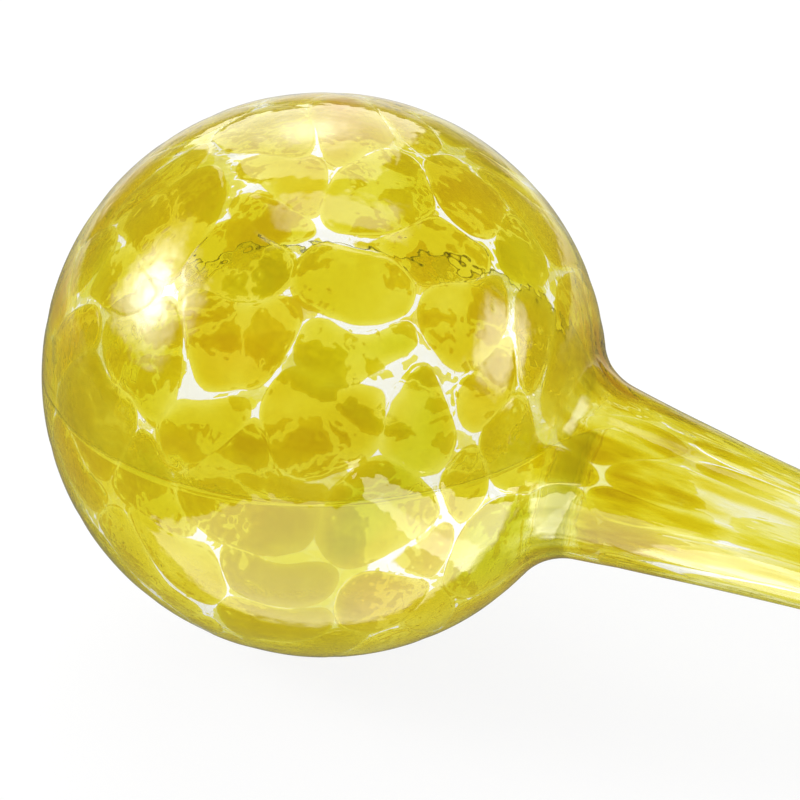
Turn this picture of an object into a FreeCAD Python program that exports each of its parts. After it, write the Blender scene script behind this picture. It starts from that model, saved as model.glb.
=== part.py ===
import FreeCAD, Part
import Sketcher
import math
import os
import random

# Watering globe of blown glass, lying on its side as it does on a table.
# A hollow bulb runs into a neck and a long drawn stem, which is open at its end.
# Chips of yellow glass cover the bulb, and streaks of it run along neck and stem.
# Each piece is built about the stem's axis: the bulb's centre is the local origin
# and local +Z runs along the stem to its mouth. One placement then lays them all down.

Vector = FreeCAD.Vector

# Driving sizes in millimetres. The overall length runs along the stem's axis, from the
# crown of the bulb to the mouth.
LENGTHS = {
    "overall_length": 220.0,
    "bulb_diameter": 80.0,
    "glass_wall": 1.7,
    "tip_radius": 5.0,
    "straight_tip": 32.0,
    "stem_curve": 750.0,
    "neck_fillet": 9.0,
    "chip_thickness": 0.6,
    "chip_bevel": 0.5,
    "vein_width": 1.5,
    "streak_thickness": 0.45,
    "rim_bevel": 0.4,
}

# Counts, and shares of the sizes that they follow. One seed always gives the same chips,
# and the steps are how often a streak bends round the neck's fillet and along the curve.
NUMBERS = {
    "chip_count": 125,
    "chip_seed": 7,
    "scatter_share": 0.3,
    "corner_share": 0.28,
    "smallest_chip_share": 0.25,
    "lane_count": 14,
    "fillet_steps": 4,
    "curve_steps": 8,
    "lane_width_share": 0.8,
    "streak_top_share": 0.6,
    "streak_tip_share": 0.4,
}

# Bands of chips from the crown, opposite the stem, to the shoulder.
# Each starts at a share of the way from crown to shoulder, by angle.
BANDS = ("crown_chips", "rear_chips", "girdle_chips", "front_chips", "shoulder_chips")
BAND_START_SHARES = (0.0, 0.2, 0.4, 0.6, 0.8)

# Streaks follow one another in lanes from the shoulder to the straight tip. Each has a
# first and a last share of that way, and the lanes take these patterns in turn.
LANE_SHARES = (
    ((0.0, 0.4), (0.43, 0.72), (0.75, 0.98)),
    ((0.0, 0.22), (0.25, 0.58), (0.61, 0.88), (0.91, 1.0)),
    ((0.0, 0.52), (0.55, 0.92)),
)
# Each group takes the streaks that start from this share of the way on
GROUPS = ("neck_streaks", "stem_streaks", "tip_streaks")
GROUP_START_SHARES = (0.0, 0.2, 0.57)

# Sketcher's numbers for the start, the end and the centre of a line or an arc
START, END, CENTRE = range(1, 4)
# and for the origin of a sketch
ORIGIN = (-START, START)
FULL_TURN = math.degrees(math.tau)

GATHER = "sizes.bulb_diameter / 2 - sizes.chip_thickness"
MOUTH = "sizes.overall_length - sizes.bulb_diameter / 2"
CURVE_START = f"{MOUTH} - sizes.straight_tip"


def fill_sheet(doc):
    """Write every driving size into the spreadsheet under its own alias."""
    sheet = doc.addObject("Spreadsheet::Sheet", "sizes")
    sheet.Label = "sizes"
    for row, (name, value) in enumerate({**LENGTHS, **NUMBERS}.items(), start=1):
        sheet.set(f"A{row}", name)
        sheet.set(f"B{row}", str(value))
        sheet.setAlias(f"B{row}", name)
    doc.recompute()
    return sheet


class Globe:
    """Sizes and places that several pieces share, worked out from the sheet's cells."""

    def __init__(self, sheet):
        for name in {**LENGTHS, **NUMBERS}:
            setattr(self, name, float(sheet.get(name)))
        self.radius = self.bulb_diameter / 2
        self.mouth_distance = self.overall_length - self.radius
        self.gather_radius = self.radius - self.chip_thickness
        self.hollow_radius = self.gather_radius - self.glass_wall
        self.straight_start = self.mouth_distance - self.straight_tip
        self.find_neck()
        self.find_rest()

    def find_neck(self):
        """Place the neck's fillet, which touches both the bulb and the stem's long curve."""
        self.curve_centre = Vector(self.tip_radius + self.stem_curve, 0, self.straight_start)
        reach = self.curve_centre.Length
        from_bulb = self.gather_radius + self.neck_fillet
        from_curve = self.stem_curve - self.neck_fillet
        along = (reach**2 + from_bulb**2 - from_curve**2) / (2 * reach)
        across = math.sqrt(from_bulb**2 - along**2)
        ahead = self.curve_centre / reach
        side = Vector(-ahead.z, 0, ahead.x)
        self.fillet_centre = ahead * along + side * across
        if self.fillet_centre.z > self.straight_start or self.fillet_centre.x < 0:
            self.fillet_centre = ahead * along - side * across
        self.shoulder = self.fillet_centre / from_bulb
        self.seam_distance = self.shoulder.z * self.hollow_radius

    def find_rest(self):
        """Find the tilt at which the bulb and the rim of the mouth both touch the table."""
        along, across = self.mouth_distance - self.rim_bevel, self.tip_radius
        self.tilt = math.asin(self.radius / math.hypot(along, across)) - math.atan2(across, along)
        reach = along * math.cos(self.tilt) + across * math.sin(self.tilt)
        turned = FreeCAD.Rotation(Vector(0, 1, 0), 90 + math.degrees(self.tilt))
        self.lying = FreeCAD.Placement(Vector((self.radius - reach) / 2, 0, self.radius), turned)
        self.down = turned.inverted().multVec(Vector(0, 0, -1))

    def shoulder_point(self, offset):
        """Where the neck's fillet meets the bulb, moved outward by an offset."""
        return self.shoulder * (self.gather_radius + offset)

    def neck_point(self, offset):
        """Where the fillet runs into the stem's long curve, moved outward by an offset."""
        away = (self.fillet_centre - self.curve_centre) / (self.stem_curve - self.neck_fillet)
        return self.curve_centre + away * (self.stem_curve - offset)

    def way_lengths(self):
        """Lengths of the way from the shoulder to the straight tip: the fillet, the curve."""
        bend = Vector(self.tip_radius, 0, self.straight_start)
        ends = (self.shoulder_point(0), self.neck_point(0), bend)
        lengths = []
        for centre, first, last in zip((self.fillet_centre, self.curve_centre), ends, ends[1:]):
            lengths.append((first - centre).Length * (first - centre).getAngle(last - centre))
        return lengths

    def way_point(self, share):
        """Point of the glass surface at a share of that way, in the section plane, with the
        direction out of the glass there.
        """
        fillet_length, curve_length = self.way_lengths()
        way = share * (fillet_length + curve_length)
        centre, first = self.fillet_centre, self.shoulder_point(0)
        if way > fillet_length:
            centre, first = self.curve_centre, self.neck_point(0)
            way -= fillet_length
        spoke = first - centre
        turn = FreeCAD.Rotation(Vector(0, 1, 0), math.degrees(way / spoke.Length))
        spoke = turn.multVec(spoke)
        return centre + spoke, spoke * (-1 / spoke.Length)

    def way_shares(self, first, last):
        """Shares of that way at which a streak bends, with its two ends."""
        fillet_length, curve_length = self.way_lengths()
        bend = fillet_length / (fillet_length + curve_length)
        before, after = int(self.fillet_steps), int(self.curve_steps)
        shares = [bend * step / before for step in range(before)]
        shares += [bend + (1 - bend) * step / after for step in range(after)]
        clear = bend / before / 2
        return [first, *(share for share in shares if first + clear < share < last - clear), last]


class Section:
    """A closed outline in the plane through the axis: across is the radius, up is the axis."""

    def __init__(self, body, name, globe):
        plane = next(item for item in body.Origin.OriginFeatures if item.Role == "XZ_Plane")
        self.sketch = body.newObject("Sketcher::SketchObject", name)
        self.sketch.AttachmentSupport = [(plane, "")]
        self.sketch.MapMode = "FlatFace"
        self.globe = globe

    def line(self, first, last, construction=False):
        """Straight line between two points."""
        ends = [Vector(point.x, point.z, 0) for point in (first, last)]
        return self.sketch.addGeometry(Part.LineSegment(*ends), construction)

    def arc(self, centre, first, last):
        """Arc about a centre that runs anticlockwise from the first point to the last."""
        middle = Vector(centre.x, centre.z, 0)
        angles = [math.atan2((p - centre).z, (p - centre).x) % math.tau for p in (first, last)]
        circle = Part.Circle(middle, Vector(0, 0, 1), (first - centre).Length)
        return self.sketch.addGeometry(Part.ArcOfCircle(circle, *angles), False)

    def relate(self, kind, *items):
        """Add one relation without a size, such as Tangent, between ends of the outline."""
        self.sketch.addConstraint(Sketcher.Constraint(kind, *items))

    def size(self, kind, items, value, expression):
        """Add one size and bind it to the sheet."""
        index = self.sketch.addConstraint(Sketcher.Constraint(kind, *items, value))
        self.sketch.setExpression(f"Constraints[{index}]", expression)

    def long_curve(self, first, last, offset, expression):
        """The stem's long curve, its centre level with the start of the straight tip."""
        globe = self.globe
        arc = self.arc(globe.curve_centre, first, last)
        across, up = globe.curve_centre.x, globe.curve_centre.z
        self.size("DistanceX", (*ORIGIN, arc, CENTRE), across, "sizes.tip_radius + sizes.stem_curve")
        self.size("DistanceY", (*ORIGIN, arc, CENTRE), up, CURVE_START)
        self.size("Radius", (arc,), globe.stem_curve - offset, expression)
        return arc

    def fillets(self, outer_offset, inner_offset):
        """The neck's fillet twice, about one centre that a line from the bulb's centre reaches."""
        globe = self.globe
        ray = self.line(Vector(), globe.fillet_centre, True)
        self.relate("Coincident", ray, START, *ORIGIN)
        length = globe.gather_radius + globe.neck_fillet
        self.size("Distance", (ray,), length, f"{GATHER} + sizes.neck_fillet")
        arcs = []
        for offset in (outer_offset, inner_offset):
            ends = globe.neck_point(offset), globe.shoulder_point(offset)
            arc = self.arc(globe.fillet_centre, *ends)
            self.relate("Coincident", arc, CENTRE, ray, END)
            self.relate("PointOnObject", arc, END, ray)
            arcs.append(arc)
        return arcs


def build_neck_and_stem(doc, globe):
    """Hollow neck and stem: one wall section turned about the axis, bevelled at the rim."""
    body = doc.addObject("PartDesign::Body", "clear_neck_and_stem")
    section = Section(body, "wall_section", globe)
    wall = globe.glass_wall
    seam = globe.seam_distance
    seam_outside = Vector(math.sqrt(globe.gather_radius**2 - seam**2), 0, seam)
    bend = Vector(globe.tip_radius, 0, globe.straight_start)
    mouth = Vector(globe.tip_radius, 0, globe.mouth_distance)
    inward, below = Vector(-wall, 0, 0), Vector(0, 0, -globe.rim_bevel)
    across = Vector(-globe.rim_bevel, 0, 0)

    shoulder = section.line(seam_outside, globe.shoulder_point(0))
    fillet, inner_fillet = section.fillets(0, -wall)
    curve = section.long_curve(bend, globe.neck_point(0), 0, "sizes.stem_curve")
    outside = section.line(bend, mouth + below)
    bevel = section.line(mouth + below, mouth + across)
    rim = section.line(mouth + across, mouth + inward - across)
    inner_bevel = section.line(mouth + inward - across, mouth + inward + below)
    inside = section.line(mouth + inward + below, bend + inward)
    inner_ends = bend + inward, globe.neck_point(-wall)
    inner_curve = section.long_curve(*inner_ends, -wall, "sizes.stem_curve + sizes.glass_wall")
    seam_line = section.line(globe.shoulder_point(-wall), seam_outside)

    section.relate("Coincident", shoulder, END, fillet, END)
    section.relate("Tangent", fillet, START, curve, END)
    section.relate("Tangent", curve, START, outside, START)
    section.relate("Coincident", outside, END, bevel, START)
    section.relate("Coincident", bevel, END, rim, START)
    section.relate("Horizontal", rim)
    section.relate("Coincident", rim, END, inner_bevel, START)
    section.relate("Coincident", inner_bevel, END, inside, START)
    section.relate("Tangent", inside, END, inner_curve, START)
    section.relate("Tangent", inner_curve, END, inner_fillet, START)
    section.relate("Coincident", inner_fillet, END, seam_line, START)
    section.relate("Coincident", seam_line, END, shoulder, START)
    section.relate("Horizontal", seam_line)
    section.size("Radius", (fillet,), globe.neck_fillet, "sizes.neck_fillet")
    section.size("DistanceY", (*ORIGIN, rim, START), globe.mouth_distance, MOUTH)
    for slope, low, high in ((bevel, START, END), (inner_bevel, END, START)):
        section.size("DistanceY", (slope, low, slope, high), globe.rim_bevel, "sizes.rim_bevel")
    section.size("DistanceX", (bevel, END, bevel, START), globe.rim_bevel, "sizes.rim_bevel")
    inner_bevel_ends = (inner_bevel, END, inner_bevel, START)
    section.size("DistanceX", inner_bevel_ends, globe.rim_bevel, "sizes.rim_bevel")
    section.size("Distance", (*ORIGIN, shoulder, START), globe.gather_radius, GATHER)
    turn = body.newObject("PartDesign::Revolution", "wall")
    turn.Profile = section.sketch
    turn.ReferenceAxis = (section.sketch, ["V_Axis"])
    turn.Angle = FULL_TURN
    section.sketch.Visibility = False
    return body


def clipped(outline, normal, offset):
    """The part of a flat convex outline where normal . point is at most the offset."""
    kept = []
    for here, after in zip(outline, outline[1:] + outline[:1]):
        over, over_after = normal.dot(here) - offset, normal.dot(after) - offset
        if over <= 0:
            kept.append(here)
        if over * over_after < 0:
            kept.append(here + (after - here) * (over / (over - over_after)))
    return kept


def chip_directions(globe):
    """Directions of the chips from the bulb's centre: a golden spiral, scattered a little.

    One chip points straight down, so that the globe lies on it.
    """
    scatter = random.Random(int(globe.chip_seed))
    count = int(globe.chip_count)
    golden_turn = math.pi * (3 - math.sqrt(5))
    pitch = math.sqrt(4 * math.pi / count)
    rises, turns = [], []
    for index in range(count):
        rise = 1 - 2 * (index + 0.5) / count
        rise += globe.scatter_share * pitch * scatter.uniform(-1, 1) * math.sqrt(1 - rise**2)
        rises.append(max(-1, min(1, rise)))
        turns.append(golden_turn * index + globe.scatter_share * pitch * scatter.uniform(-1, 1))
    lowest = min(range(count), key=lambda index: abs(rises[index] - globe.down.z))
    rises[lowest] = globe.down.z
    start = turns[lowest]
    directions = []
    for rise, turn in zip(rises, turns):
        flat = math.sqrt(1 - rise**2)
        directions.append(Vector(flat * math.cos(turn - start), flat * math.sin(turn - start), rise))
    return directions


def facets(directions):
    """One facet for each direction, on a ball of radius 1: the plane that touches the ball
    there, cut off by the planes of its neighbours. Together they close round the ball.
    """
    outlines = []
    for direction in directions:
        side = direction.cross(Vector(0, 1, 0) if abs(direction.y) < 0.9 else Vector(1, 0, 0))
        side.normalize()
        up = direction.cross(side)
        outline = [direction + side * x + up * y for x, y in ((1, 1), (-1, 1), (-1, -1), (1, -1))]
        for other in directions:
            if other is not direction and other.dot(direction) > 0:
                outline = clipped(outline, other, 1)
        outlines.append(outline)
    return outlines


def closed_solid(outlines):
    """Solid whose faces are these flat outlines."""
    shell = Part.makeShell([Part.Face(Part.makePolygon([*o, o[0]])) for o in outlines])
    shell.sewShape()
    solid = Part.makeSolid(shell)
    return solid if solid.Volume > 0 else solid.reversed()


def facet_solid(outlines, radius):
    """Closed solid of flat facets that touch a ball of this radius."""
    return closed_solid([[point * radius for point in outline] for outline in outlines])


def add_group(doc, name, solids):
    """One object that holds several separate pieces of one kind."""
    group = doc.addObject("Part::Feature", name)
    group.Shape = Part.makeCompound(solids)
    print(name, len(solids), "pieces")
    return group


def build_bulb(doc, globe, outlines):
    """Hollow bulb of clear glass, flattened a little under each chip, open at the shoulder."""
    outer = facet_solid(outlines, globe.gather_radius)
    hollow = facet_solid(outlines, globe.hollow_radius)
    ahead = Part.makeCylinder(globe.bulb_diameter, globe.bulb_diameter, Vector(0, 0, globe.seam_distance))
    bulb = doc.addObject("Part::Feature", "clear_bulb")
    bulb.Shape = outer.cut(hollow).cut(ahead)
    return bulb


def inset(outline, direction, distance):
    """A flat convex outline with each side moved inward."""
    moved = outline
    for here, after in zip(outline, outline[1:] + outline[:1]):
        away = (after - here).cross(direction)
        away.normalize()
        if away.dot(here) < away.dot(sum(outline, Vector()) / len(outline)):
            away = -away
        moved = clipped(moved, away, away.dot(here) - distance)
        if not moved:
            break
    return moved


def cut_corners(outline, share):
    """Each corner replaced by two points, a share of the way along its two sides."""
    points = []
    for before, here, after in zip(outline[-1:] + outline[:-1], outline, outline[1:] + outline[:1]):
        points.append(here + (before - here) * share)
        points.append(here + (after - here) * share)
    return points


def outline_size(outline):
    """Mean distance of an outline's corners from their middle."""
    middle = sum(outline, Vector()) / len(outline)
    return sum((point - middle).Length for point in outline) / len(outline)


def chip(outline, direction, thickness, bevel):
    """Flat chip on its facet: the lower outline, drawn in by the bevel at the top."""
    middle = sum(outline, Vector()) / len(outline)
    drawn_in = 1 - bevel / outline_size(outline)
    top = [middle + (point - middle) * drawn_in + direction * thickness for point in outline]
    sides = [(outline[i - 1], outline[i], top[i], top[i - 1]) for i in range(len(outline))]
    return closed_solid([outline, top, *sides])


def group_at(names, start_shares, share):
    """Name of the last group that starts at or before a share."""
    return [name for name, start in zip(names, start_shares) if start <= share][-1]


def build_chips(doc, globe, directions, outlines):
    """One object for each band of chips. Each chip lies flat on its facet of the bulb."""
    shoulder_angle = math.acos(globe.shoulder.z)
    edge = globe.seam_distance - globe.vein_width / 2
    usual = globe.gather_radius * math.sqrt(4 / globe.chip_count)
    bands = {name: [] for name in BANDS}
    for direction, outline in zip(directions, outlines):
        seat = [point * globe.gather_radius for point in outline]
        seat = inset(clipped(seat, Vector(0, 0, 1), edge), direction, globe.vein_width / 2)
        if len(seat) < 3 or outline_size(seat) < usual * globe.smallest_chip_share:
            continue
        seat = cut_corners(seat, globe.corner_share)
        way = (math.pi - math.acos(direction.z)) / (math.pi - shoulder_angle)
        band = group_at(BANDS, BAND_START_SHARES, way)
        bands[band].append(chip(seat, direction, globe.chip_thickness, globe.chip_bevel))
    return [add_group(doc, name, chips) for name, chips in bands.items()]


def streak(stops, lane_angle, globe, turn):
    """One streak that lies along the neck or the stem: flat across, narrower at its ends and
    at its top. Its middle line touches the glass at each stop.
    """
    lower, upper = [], []
    for place, (point, out) in enumerate(stops):
        half = point.x * math.tan(lane_angle / 2) * globe.lane_width_share
        if place in (0, len(stops) - 1):
            half *= globe.streak_tip_share
        side = Vector(0, half, 0)
        top = point + out * globe.streak_thickness
        lower.append((point - side, point + side))
        upper.append((top - side * globe.streak_top_share, top + side * globe.streak_top_share))
    rings = [(low[0], low[1], high[1], high[0]) for low, high in zip(lower, upper)]
    outlines = [rings[0], rings[-1]]
    for ring, after in zip(rings, rings[1:]):
        outlines.append((ring[0], ring[1], after[1], after[0]))
        outlines.append((ring[2], ring[3], after[3], after[2]))
        for one, other in ((1, 2), (3, 0)):
            outlines.append((ring[one], ring[other], after[other]))
            outlines.append((ring[one], after[other], after[one]))
    solid = closed_solid(outlines)
    solid.rotate(Vector(), Vector(0, 0, 1), turn)
    return solid


def build_streaks(doc, globe):
    """Chips drawn out into streaks, in lanes round the neck and the stem, in three groups."""
    lanes = int(globe.lane_count)
    groups = {name: [] for name in GROUPS}
    for lane in range(lanes):
        for first, last in LANE_SHARES[lane % len(LANE_SHARES)]:
            group = group_at(GROUPS, GROUP_START_SHARES, first)
            stops = [globe.way_point(share) for share in globe.way_shares(first, last)]
            groups[group].append(streak(stops, math.tau / lanes, globe, FULL_TURN * lane / lanes))
    return [add_group(doc, name, solids) for name, solids in groups.items()]


def check(doc, pieces):
    """Stop if anything in the document failed or any piece isn't a sound solid."""
    for item in doc.Objects:
        if {"Invalid", "Error"} & set(item.State):
            raise RuntimeError(f"{item.Name} is {item.State}")
    for piece in pieces:
        if piece.Shape.isNull() or not piece.Shape.isValid() or not piece.Shape.Solids:
            raise RuntimeError(f"{piece.Label} has no sound shape")


def main():
    """Build every piece, lay it down and write it to its own file."""
    doc = FreeCAD.newDocument("watering_globe")
    globe = Globe(fill_sheet(doc))
    directions = chip_directions(globe)
    outlines = facets(directions)

    pieces = [build_bulb(doc, globe, outlines), build_neck_and_stem(doc, globe)]
    pieces.extend(build_chips(doc, globe, directions, outlines))
    pieces.extend(build_streaks(doc, globe))
    doc.recompute()
    for piece in pieces:
        piece.Placement = globe.lying
    doc.recompute()
    check(doc, pieces)

    os.makedirs("parts", exist_ok=True)
    for piece in pieces:
        piece.Shape.exportStep(f"parts/{piece.Label}.step")
        print(piece.Label, len(piece.Shape.Solids), "solids", round(piece.Shape.Volume, 1), "mm3")
    print("tilt", round(math.degrees(globe.tilt), 3), "degrees")
    print("bulb centre", globe.lying.Base, "shoulder", globe.shoulder * globe.gather_radius)


main()
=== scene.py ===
"""Watering globe of blown glass that lies on a white table, half full of water.

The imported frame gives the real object's size and place, and this script gives its looks:
one wall of glass with chips of yellow glass melted into its outside, and its water.
Sizes in the classes are in millimetres, and meshes are made in metres.
"""

import logging
import math
import random
from dataclasses import dataclass
from enum import Enum

import bpy
import numpy as np
from bpy.types import ID, Light, Material, Mesh, Node, NodeSocket as Socket, Object, World
from mathutils import Matrix, Vector


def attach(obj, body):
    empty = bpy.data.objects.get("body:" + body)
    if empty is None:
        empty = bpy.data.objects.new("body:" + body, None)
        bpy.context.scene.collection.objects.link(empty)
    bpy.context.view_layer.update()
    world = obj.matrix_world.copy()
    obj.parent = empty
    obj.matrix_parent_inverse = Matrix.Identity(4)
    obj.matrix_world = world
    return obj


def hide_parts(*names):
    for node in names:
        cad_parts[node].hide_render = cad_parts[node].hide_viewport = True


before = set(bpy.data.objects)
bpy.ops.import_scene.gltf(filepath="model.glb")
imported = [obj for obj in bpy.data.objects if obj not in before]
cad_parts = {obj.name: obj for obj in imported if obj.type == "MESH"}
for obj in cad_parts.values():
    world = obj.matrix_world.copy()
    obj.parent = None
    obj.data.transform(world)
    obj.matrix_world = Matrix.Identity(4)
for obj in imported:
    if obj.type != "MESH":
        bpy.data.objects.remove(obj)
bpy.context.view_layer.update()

LOG = logging.getLogger("watering_globe")
METRES = 0.001
TINY = 1e-6
WHITE = (1.0, 1.0, 1.0, 1.0)
Array = np.ndarray
Pair = tuple[float, float]
Triple = tuple[float, float, float]


class Face(Enum):
    """Which side of the glass a face is on, as the number of its material slot."""

    CHIPPED = 0
    CLEAR = 1


class ChipColour(Enum):
    """Colours of the glass chips, each as white light looks after two layers of it."""

    GREEN_LEMON = (0.55, 0.53, 0.002)
    LEMON = (0.66, 0.548, 0.003)
    YELLOW = (0.68, 0.528, 0.003)
    GOLDEN = (0.69, 0.505, 0.003)
    AMBER = (0.72, 0.47, 0.003)


def smooth_step(low: float, high: float, value: Array) -> Array:
    """Rise from 0 to 1 between two values, level at both ends: t * t * (3 - 2 t).

    Args:
        low: Value at which the rise starts.
        high: Value at which it ends.
        value: Where to read it.

    Returns:
        The height of the rise, shaped as value is.
    """
    share = np.clip((value - low) / (high - low), 0.0, 1.0)
    return share * share * (3.0 - 2.0 * share)


@dataclass(frozen=True)
class Gather:
    """Outline of the clear glass, turned about the stem's axis.

    The way along it starts at the crown, opposite the stem. Bulb, neck's fillet, stem's
    long curve and straight tip each turn the outward normal at a steady rate.
    """

    bulb_radius: float = 39.4
    chip_thickness: float = 0.6
    wall: float = 1.7
    mouth_distance: float = 180.0
    tip_radius: float = 5.0
    straight_tip: float = 32.0
    stem_curve: float = 750.0
    neck_fillet: float = 9.0
    rim_bevel: float = 0.4

    @property
    def outside_radius(self) -> float:
        """Radius of the bulb over its chips."""
        return self.bulb_radius + self.chip_thickness

    @property
    def curve_centre(self) -> Array:
        """Centre of the stem's long curve, as radius and distance along the axis."""
        return np.array([self.tip_radius + self.stem_curve, self.mouth_distance - self.straight_tip])

    @property
    def fillet_centre(self) -> Array:
        """Centre of the neck's fillet, where circles about the bulb and the long curve cross.

        Returns:
            Its radius and distance along the axis.
        """
        reach = np.linalg.norm(self.curve_centre)
        from_bulb = self.bulb_radius + self.neck_fillet
        from_curve = self.stem_curve - self.neck_fillet
        along = (reach**2 + from_bulb**2 - from_curve**2) / (2 * reach)
        across = math.sqrt(from_bulb**2 - along**2)
        ahead = self.curve_centre / reach
        return ahead * along + np.array([-ahead[1], ahead[0]]) * across

    @property
    def turns(self) -> Pair:
        """Angle of the outward normal at the shoulder and at the fillet's other end."""
        away = self.curve_centre - self.fillet_centre
        return math.atan2(*self.fillet_centre[::-1]), math.atan2(*away[::-1])

    @property
    def stops(self) -> Array:
        """Length along the outline to each of its ends: arc radius times turn, added up.

        Returns:
            The lengths at crown, shoulder, fillet's end, start of the straight tip and mouth.
        """
        shoulder, neck = self.turns
        bulb = self.bulb_radius * (shoulder + math.pi / 2)
        fillet = self.neck_fillet * (shoulder - neck)
        return np.cumsum([0.0, bulb, fillet, self.stem_curve * neck, self.straight_tip])

    def outline(self, lengths: Array, offset: Array | float) -> tuple[Array, Array]:
        """Points of the outline: centre plus or minus arc radius times the normal.

        Args:
            lengths: Way along the outline from the crown.
            offset: How far outward of the clear glass the points lie.

        Returns:
            Radius and distance along the axis, each shaped as lengths.
        """
        shoulder, neck = self.turns
        stops = self.stops
        normal = np.interp(lengths, stops, [-math.pi / 2, shoulder, neck, 0.0, 0.0])
        zone = np.clip(np.searchsorted(stops, lengths, side="right") - 1, 0, 3)
        centres = np.array([[0.0, 0.0], self.fillet_centre, self.curve_centre, [0.0, 0.0]])
        radii = np.array([self.bulb_radius, -self.neck_fillet, -self.stem_curve, self.tip_radius])
        centre = centres[zone]
        reach = radii[zone] + offset
        radius = centre[..., 0] + reach * np.cos(normal)
        along = centre[..., 1] + reach * np.sin(normal)
        straight = self.mouth_distance - self.straight_tip + lengths - stops[3]
        return radius, np.where(zone == 3, straight, along)


@dataclass(frozen=True)
class Lying:
    """How the globe lies: on its bulb and on the rim of its mouth."""

    gather: Gather

    @property
    def rim(self) -> Pair:
        """Where the mouth's rim touches the table: distance along the stem, and from its axis."""
        return self.gather.mouth_distance - self.gather.rim_bevel, self.gather.tip_radius

    @property
    def tilt(self) -> float:
        """Dip of the stem below the horizontal, in radians."""
        along, across = self.rim
        return math.asin(self.gather.outside_radius / math.hypot(along, across)) - math.atan2(across, along)

    @property
    def axes(self) -> Array:
        """Rows: two directions across the stem, the first downward, and the stem's own."""
        sine, cosine = math.sin(self.tilt), math.cos(self.tilt)
        return np.array([[-sine, 0.0, -cosine], [0.0, 1.0, 0.0], [cosine, 0.0, -sine]])

    @property
    def centre(self) -> Array:
        """Centre of the bulb in the frame, whose origin is below the middle of the globe."""
        reach = self.rim[0] * math.cos(self.tilt) + self.rim[1] * math.sin(self.tilt)
        return np.array([(self.gather.outside_radius - reach) / 2, 0.0, self.gather.outside_radius])

    def place(self, radius: Array, angle: Array, along: Array) -> Array:
        """Lay points down in the frame: centre plus the three axes times the coordinates.

        Args:
            radius: Distance from the stem's axis.
            angle: Angle about it, from the downward direction.
            along: Distance along it from the bulb's centre.

        Returns:
            Points in metres, with a last axis of three.
        """
        local = np.stack([radius * np.cos(angle), radius * np.sin(angle), along], axis=-1)
        return (local @ self.axes + self.centre) * METRES


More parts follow.
